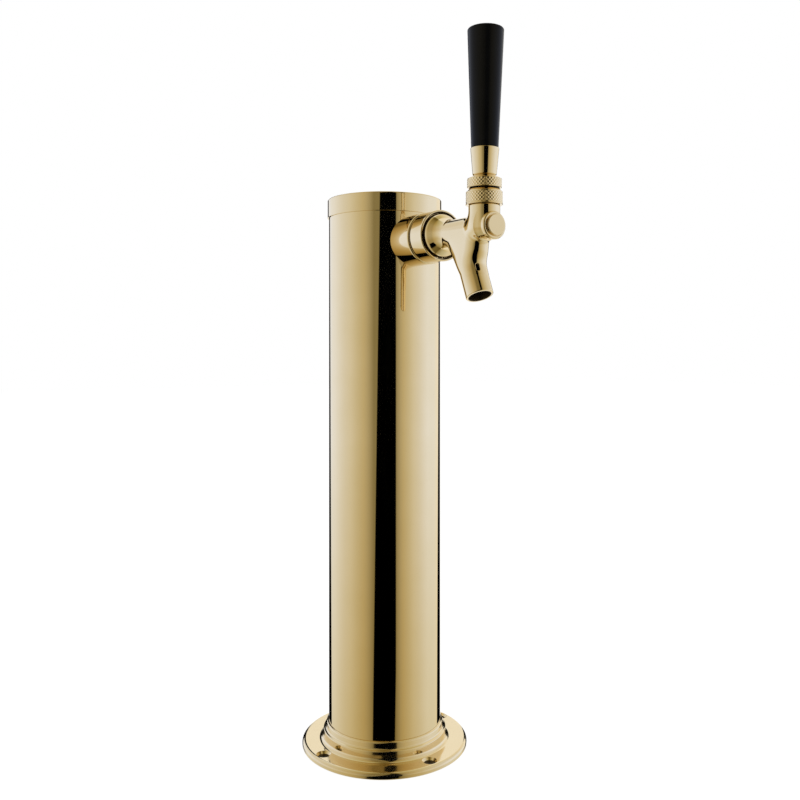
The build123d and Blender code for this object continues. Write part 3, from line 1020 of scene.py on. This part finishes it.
nylon = plastic("white_nylon", (0.78, 0.77, 0.72), (0.84, 0.83, 0.79), 0.4, 0.5, 1500, 0.00002)


# ---- the pieces ----

def dress(piece, body, material, node):
    """Give a piece its material, hang it from its body's empty and hide the node that it stands for."""
    piece.data.materials.clear()
    piece.data.materials.append(material)
    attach(piece, body)
    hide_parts(node)


casting, bores = faucet_casting()
dress(column_shell(), "tower", gold, "column_tube")
dress(cap_shell(), "cap", gold, "top_cap")
dress(base_casting(), "tower", soft_gold, "base_flange")
# painted shade: near-black linings inside the screw holes
for hole_wall in screw_hole_walls():
    dress(hole_wall, "tower", hollow_shade_brass, "base_flange")
dress(rosette_shell(), "tower", gold, "shank_rosette")
dress(coupling_shell(), "tower", gold, "coupling_nut")
# painted shade: the nut's inside in near-black brass
dress(coupling_bore(), "tower", hollow_shade_brass, "coupling_nut")
dress(casting, "tower", gold, "faucet_body")
# painted shade: the casting's bores in near-black brass, so the vent and mouth look dark inside
dress(bores, "tower", hollow_shade_brass, "faucet_body")
dress(boss_cap(), "tower", gold, "faucet_body")
dress(bonnet_knurled(), "tower", knurled_gold, "bonnet")
dress(collar_knurled(), "lever", knurled_gold, "lever_collar")
# painted shade: the upper ring's hollow in near-black brass
dress(collar_hollow(), "lever", hollow_shade_brass, "lever_collar")
dress(ferrule_shell(), "lever", gold, "handle_ferrule")
dress(tap_handle(), "lever", black_plastic, "handle")

SLOT_MATERIALS = {
    "polished_gold": gold,
    "plated_steel": chrome,
    "raw_brass": brass,
    "black_handle": black_plastic,
    "black_rubber": rubber,
    "white_nylon": nylon,
}
for subpart in frame["record"]["subparts"]:
    node = frame["nodes"][subpart["node"]]
    for material_slot in node.material_slots:
        material_slot.material = SLOT_MATERIALS[subpart["material_slot"]]

# ---- camera, fitted to the outlines in the photo ----
camera_place = (-0.3056, -0.50944, 0.26516)
camera_turn = math.radians(-32.53)
focal_px = 866.17
frame_px = 800
principal_px = (408.45, 353.7)

camera_data = bpy.data.cameras.new("camera")
camera = bpy.data.objects.new("camera", camera_data)
bpy.context.scene.collection.objects.link(camera)
camera_data.sensor_width = 36
camera_data.lens = camera_data.sensor_width * focal_px / frame_px
camera_data.shift_x = (frame_px / 2 - principal_px[0]) / frame_px
camera_data.shift_y = (principal_px[1] - frame_px / 2) / frame_px
camera_data.clip_start = 0.01
camera.location = camera_place
camera.rotation_euler = (math.pi / 2, 0, camera_turn)
bpy.context.scene.camera = camera

# ---- stage ----
tower_middle = (0, 0, 0.2)


def mixed_shader(nodes, links, share, first, second):
    mix = nodes.new("ShaderNodeMixShader")
    for socket, value in zip(mix.inputs, (share, first.outputs[0], second.outputs[0])):
        links.new(value, socket)
    return mix


def floor():
    """A wide white table top that keeps the tower's soft shadow; it is dark under the flange."""
    half = 6.0
    glow_share = 0.85           # the rest is lit and shaded like a plain table
    mesh = bpy.data.meshes.new("floor")
    corners = [(-half, -half, 0), (half, -half, 0), (half, half, 0), (-half, half, 0)]
    mesh.from_pydata(corners, [], [(0, 1, 2, 3)])
    table = bpy.data.objects.new("floor", mesh)
    bpy.context.scene.collection.objects.link(table)
    material, nodes, links, shader = new_material("white_table")
    shader.inputs["Base Color"].default_value = (0.92, 0.92, 0.92, 1)
    shader.inputs["Roughness"].default_value = 0.6
    glow = nodes.new("ShaderNodeEmission")
    glow.inputs["Strength"].default_value = 1.03
    path = nodes.new("ShaderNodeLightPath")
    place = nodes.new("ShaderNodeTexCoord")
    from_axis = nodes.new("ShaderNodeVectorMath")
    from_axis.operation = "LENGTH"
    sums = Sums(nodes, links)
    links.new(place.outputs["Object"], from_axis.inputs[0])
    flange_r = base_high[0] * MM
    clear = sums.step(from_axis.outputs["Value"], 0.96 * flange_r, 0.97 * flange_r)
    glowing = sums("MULTIPLY", path.outputs["Is Camera Ray"], glow_share)
    mix = mixed_shader(nodes, links, sums("MULTIPLY", glowing, clear), shader, glow)
    links.new(mix.outputs[0], nodes["Material Output"].inputs["Surface"])
    mesh.materials.append(material)
    table.visible_glossy = False


def background(nodes, strength):
    """A background node, white until a colour is linked to it."""
    node = nodes.new("ShaderNodeBackground")
    node.inputs["Color"].default_value = (1, 1, 1, 1)
    node.inputs["Strength"].default_value = strength
    return node


# the walls' colours by degrees away from the gap, and their tints by degrees above level
WALL_COLOURS = (
    (20, (0.28, 0.24, 0.13)),
    (28, (0.43, 0.38, 0.25)),
    (35, (0.54, 0.48, 0.33)),
    (42, (0.62, 0.55, 0.38)),
    (56, (0.69, 0.65, 0.54)),
    (71, (0.78, 0.77, 0.75)),
    (87, (0.82, 0.84, 0.92)),
    (107, (0.90, 0.96, 1.18)),
    (120, (0.94, 1.02, 1.30)),
    (150, (0.94, 1.02, 1.26)),
    (170, (1.0, 1.0, 1.02)),
)
RISE_TINTS = (
    (-81, (0.50, 0.44, 0.26)),
    (-63, (0.68, 0.62, 0.40)),
    (-45, (0.84, 0.79, 0.66)),
    (-23.4, (0.86, 0.79, 0.60)),
    (-5.4, (1, 1, 1)),
    (10.8, (1, 1, 1)),
    (28.8, (0.87, 0.80, 0.66)),
    (45, (0.84, 0.78, 0.62)),
    (63, (0.72, 0.64, 0.38)),
    (84.6, (0.55, 0.48, 0.25)),
)


def studio_surround():
    """White walls round the tower, dimmer and warmer overhead, underfoot and towards a dark gap at the
    front, where the camera stands, and three narrow dark panels behind. Only reflections show them; the
    background is white."""
    world = bpy.data.worlds.new("studio")
    bpy.context.scene.world = world
    world.use_nodes = True
    nodes, links = world.node_tree.nodes, world.node_tree.links
    nodes.clear()
    sums = Sums(nodes, links)
    place = nodes.new("ShaderNodeTexCoord")
    parts = nodes.new("ShaderNodeSeparateXYZ")
    links.new(place.outputs["Generated"], parts.inputs[0])
    east, north, up = parts.outputs
    # the angle of a direction from the line back to the camera, positive to the picture's right
    sine, cosine = math.sin(camera_turn), math.cos(camera_turn)
    towards = sums("ADD", sums("MULTIPLY", east, sine), sums("MULTIPLY", north, -cosine))
    rightward = sums("ADD", sums("MULTIPLY", east, cosine), sums("MULTIPLY", north, sine))
    angle = sums("MULTIPLY", sums("ARCTAN2", rightward, towards), 180 / math.pi)
    rise = sums("MULTIPLY", sums("ARCSINE", up), 180 / math.pi)

    # the right wall brightens sooner than the left
    right_away = sums("SUBTRACT", sums("MULTIPLY", angle, 1.3), 10)
    away = sums("MAXIMUM", right_away, sums("MULTIPLY", angle, -1))
    wall_stops = [(degrees / 180, colour) for degrees, colour in WALL_COLOURS]
    walls = sums.colours(sums("DIVIDE", away, 180), wall_stops)
    rise_stops = [(degrees / 180 + 0.5, colour) for degrees, colour in RISE_TINTS]
    off_level = sums.colours(sums("ADD", sums("DIVIDE", rise, 180), 0.5), rise_stops)
    spread = sums("ABSOLUTE", angle)
    away_from_back = sums.step(spread, 165, 140)
    faded_walls = sums.blend(away_from_back, walls, off_level, "MULTIPLY")

    # the dark gap goes left downwards: its left edge all the way, its right edge only low down
    lean = 0.42             # degrees across for each degree of rise
    soft = 1.2
    gap_left, gap_right = -13, 25
    upright_to, low_lean = -20, 0.5
    left_edge = sums("ADD", sums("MULTIPLY", rise, lean), gap_left)
    past_left = sums.step(sums("SUBTRACT", angle, left_edge), 0, soft)
    low_rise = sums("MINIMUM", sums("ADD", rise, -upright_to), 0)
    right_edge = sums("ADD", sums("MULTIPLY", low_rise, low_lean), gap_right)
    before_right = sums.step(sums("SUBTRACT", right_edge, angle), 0, soft)
    gap = sums("MULTIPLY", sums("MULTIPLY", past_left, before_right), sums.inside(rise, -60, 84, 6))

    # a pair of panels, one on each side behind, wider at their feet, and a third higher up
    inner_edge = sums("ADD", sums("MULTIPLY", rise, lean), 147)
    past_inner = sums.step(sums("SUBTRACT", spread, inner_edge), 0, soft)
    across_panel = sums("MULTIPLY", past_inner, sums.step(spread, 165, 164))
    panels = sums("MULTIPLY", across_panel, sums.inside(rise, -25, 24, 1.5))
    high_panel = sums("MULTIPLY", sums.inside(angle, -171, -150, 1.5), sums.inside(rise, 14, 38, 2))
    dark = sums("MAXIMUM", sums("MAXIMUM", gap, panels), high_panel)
    seen_colour = sums.blend(dark, faded_walls, (0.0, 0.0, 0.0))

    path = nodes.new("ShaderNodeLightPath")
    seen = background(nodes, 1.0)
    links.new(seen_colour, seen.inputs["Color"])
    plain = background(nodes, 1.0)
    fill = background(nodes, 1.1)
    lighting = mixed_shader(nodes, links, path.outputs["Is Glossy Ray"], fill, seen)
    everything = mixed_shader(nodes, links, path.outputs["Is Camera Ray"], lighting, plain)
    output = nodes.new("ShaderNodeOutputWorld")
    links.new(everything.outputs[0], output.inputs["Surface"])


def softbox(name, place, size, power):
    """A rectangular lamp turned to the tower's middle; reflections don't show it."""
    light = bpy.data.lights.new(name, "AREA")
    light.shape = "RECTANGLE"
    light.size, light.size_y = size
    light.energy = power
    lamp = bpy.data.objects.new(name, light)
    lamp.location = place
    direction = Vector(tower_middle) - Vector(place)
    lamp.rotation_euler = direction.to_track_quat("-Z", "Y").to_euler()
    lamp.visible_glossy = False
    bpy.context.scene.collection.objects.link(lamp)


floor()
studio_surround()
softbox("left_box", (-1.2, -0.7, 1.2), (0.9, 1.2), 9)
softbox("right_box", (1.2, -0.5, 1.1), (0.9, 1.2), 7)
softbox("top_box", (0, 0.2, 1.7), (1.2, 1.2), 8)

view = bpy.context.scene.view_settings
view.view_transform = "Standard"
